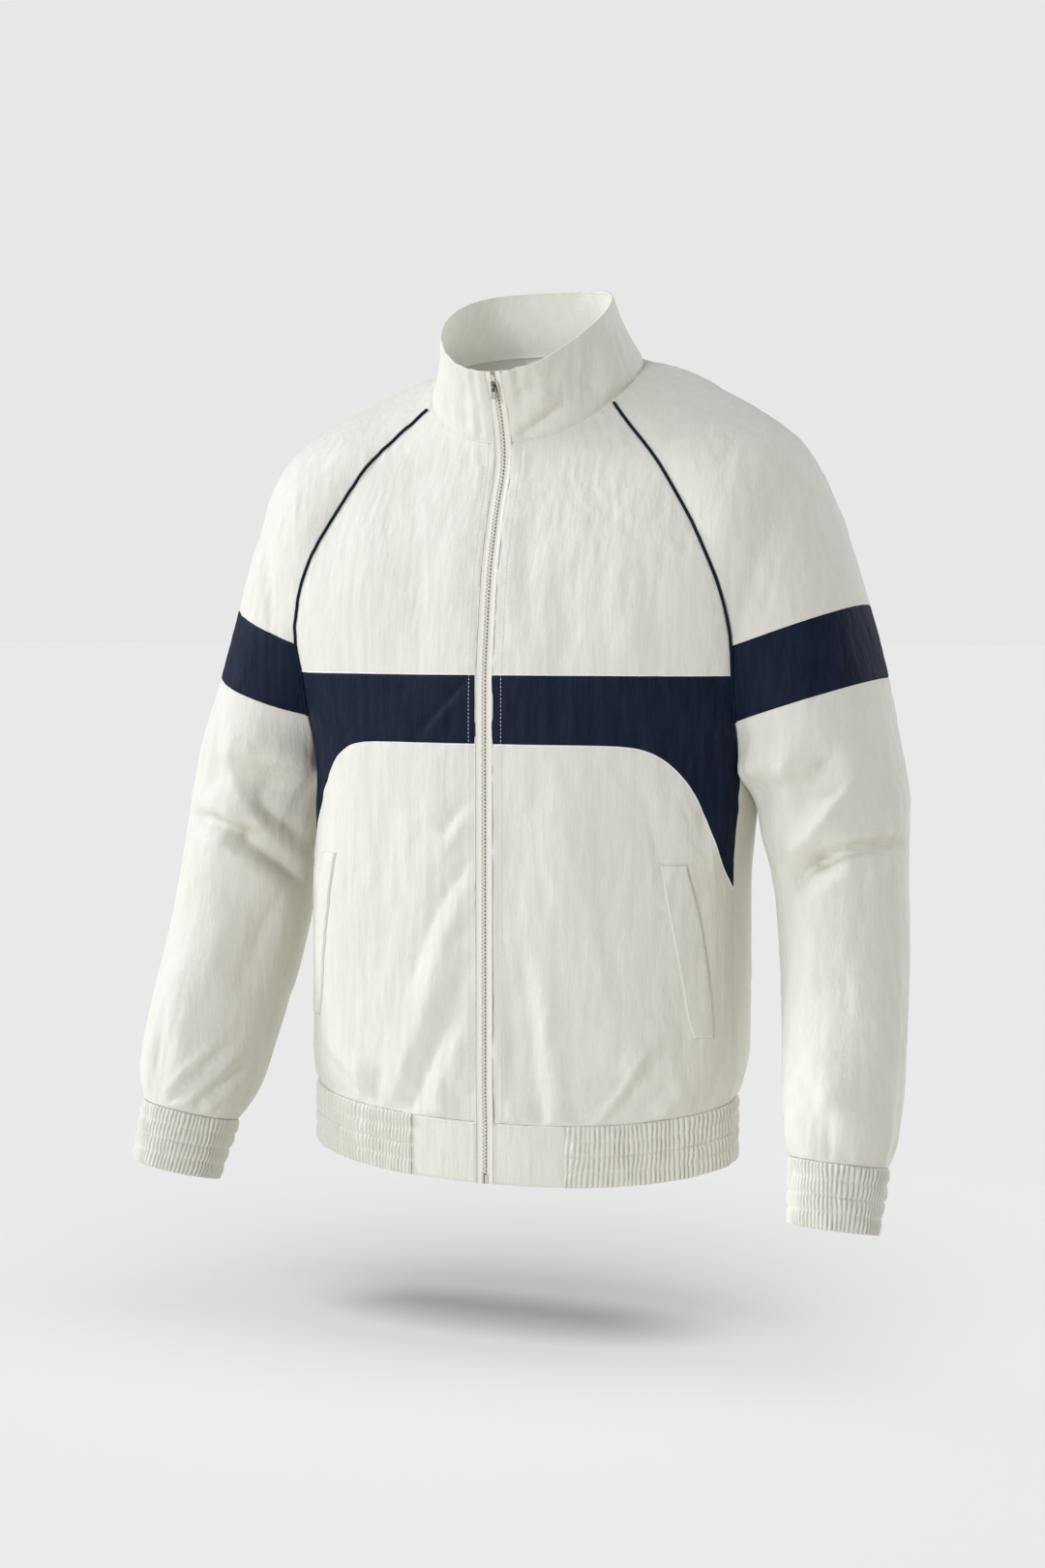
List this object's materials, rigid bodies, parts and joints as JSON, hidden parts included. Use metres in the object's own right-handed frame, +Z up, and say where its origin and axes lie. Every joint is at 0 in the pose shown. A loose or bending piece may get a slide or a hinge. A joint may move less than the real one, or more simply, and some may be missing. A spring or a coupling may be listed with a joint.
{
  "type": "windbreaker jacket",
  "caption": "Hip-length windbreaker with a stand collar, full front zip, piped raglan sleeves, chest and sleeve bands, welt pockets, and gathered cuffs and waistband.",
  "frame": {"origin": "where the wearer's shoulders carry the jacket, midway between the two sides of the neck seam", "axes": "+Z up, the front faces -Y, +X is the wearer's left"},
  "size_m": [0.7062, 0.2378, 0.7765],
  "materials": {
    "cream_nylon": "crinkled matte nylon",
    "navy_nylon": "matte nylon",
    "zip_tape": "woven tape",
    "zip_teeth": "moulded teeth",
    "zip_metal": "dark nickel"
  },
  "bodies": {
    "jacket": {"back": "cream_nylon", "collar": "cream_nylon", "cuff_left": "cream_nylon", "cuff_right": "cream_nylon", "front_lower_left": "cream_nylon", "front_lower_right": "cream_nylon", "front_upper_left": "cream_nylon", "front_upper_right": "cream_nylon", "pocket_welt_left": "cream_nylon", "pocket_welt_right": "cream_nylon", "sleeve_lower_left": "cream_nylon", "sleeve_lower_right": "cream_nylon", "sleeve_upper_left": "cream_nylon", "sleeve_upper_right": "cream_nylon", "waist_elastic": "cream_nylon", "waist_tab_left": "cream_nylon", "waist_tab_right": "cream_nylon", "front_band_left": "navy_nylon", "front_band_right": "navy_nylon", "sleeve_band_left": "navy_nylon", "sleeve_band_right": "navy_nylon", "piping_left": "navy_nylon", "piping_right": "navy_nylon", "zip_tape_left": "zip_tape", "zip_tape_right": "zip_tape", "zip_chain": "zip_teeth", "zip_foot": "zip_metal", "zip_slider": "zip_metal"},
    "pull_tab": {"zip_pull_tab": "zip_metal"}
  },
  "joints": [
    {"name": "pull_tab_hinge", "type": "hinge", "parent": "jacket", "child": "pull_tab", "pos_m": [0, -0.10491, -0.01621], "axis": [-1, 0, 0], "range_deg": [-12, 150]}
  ]
}
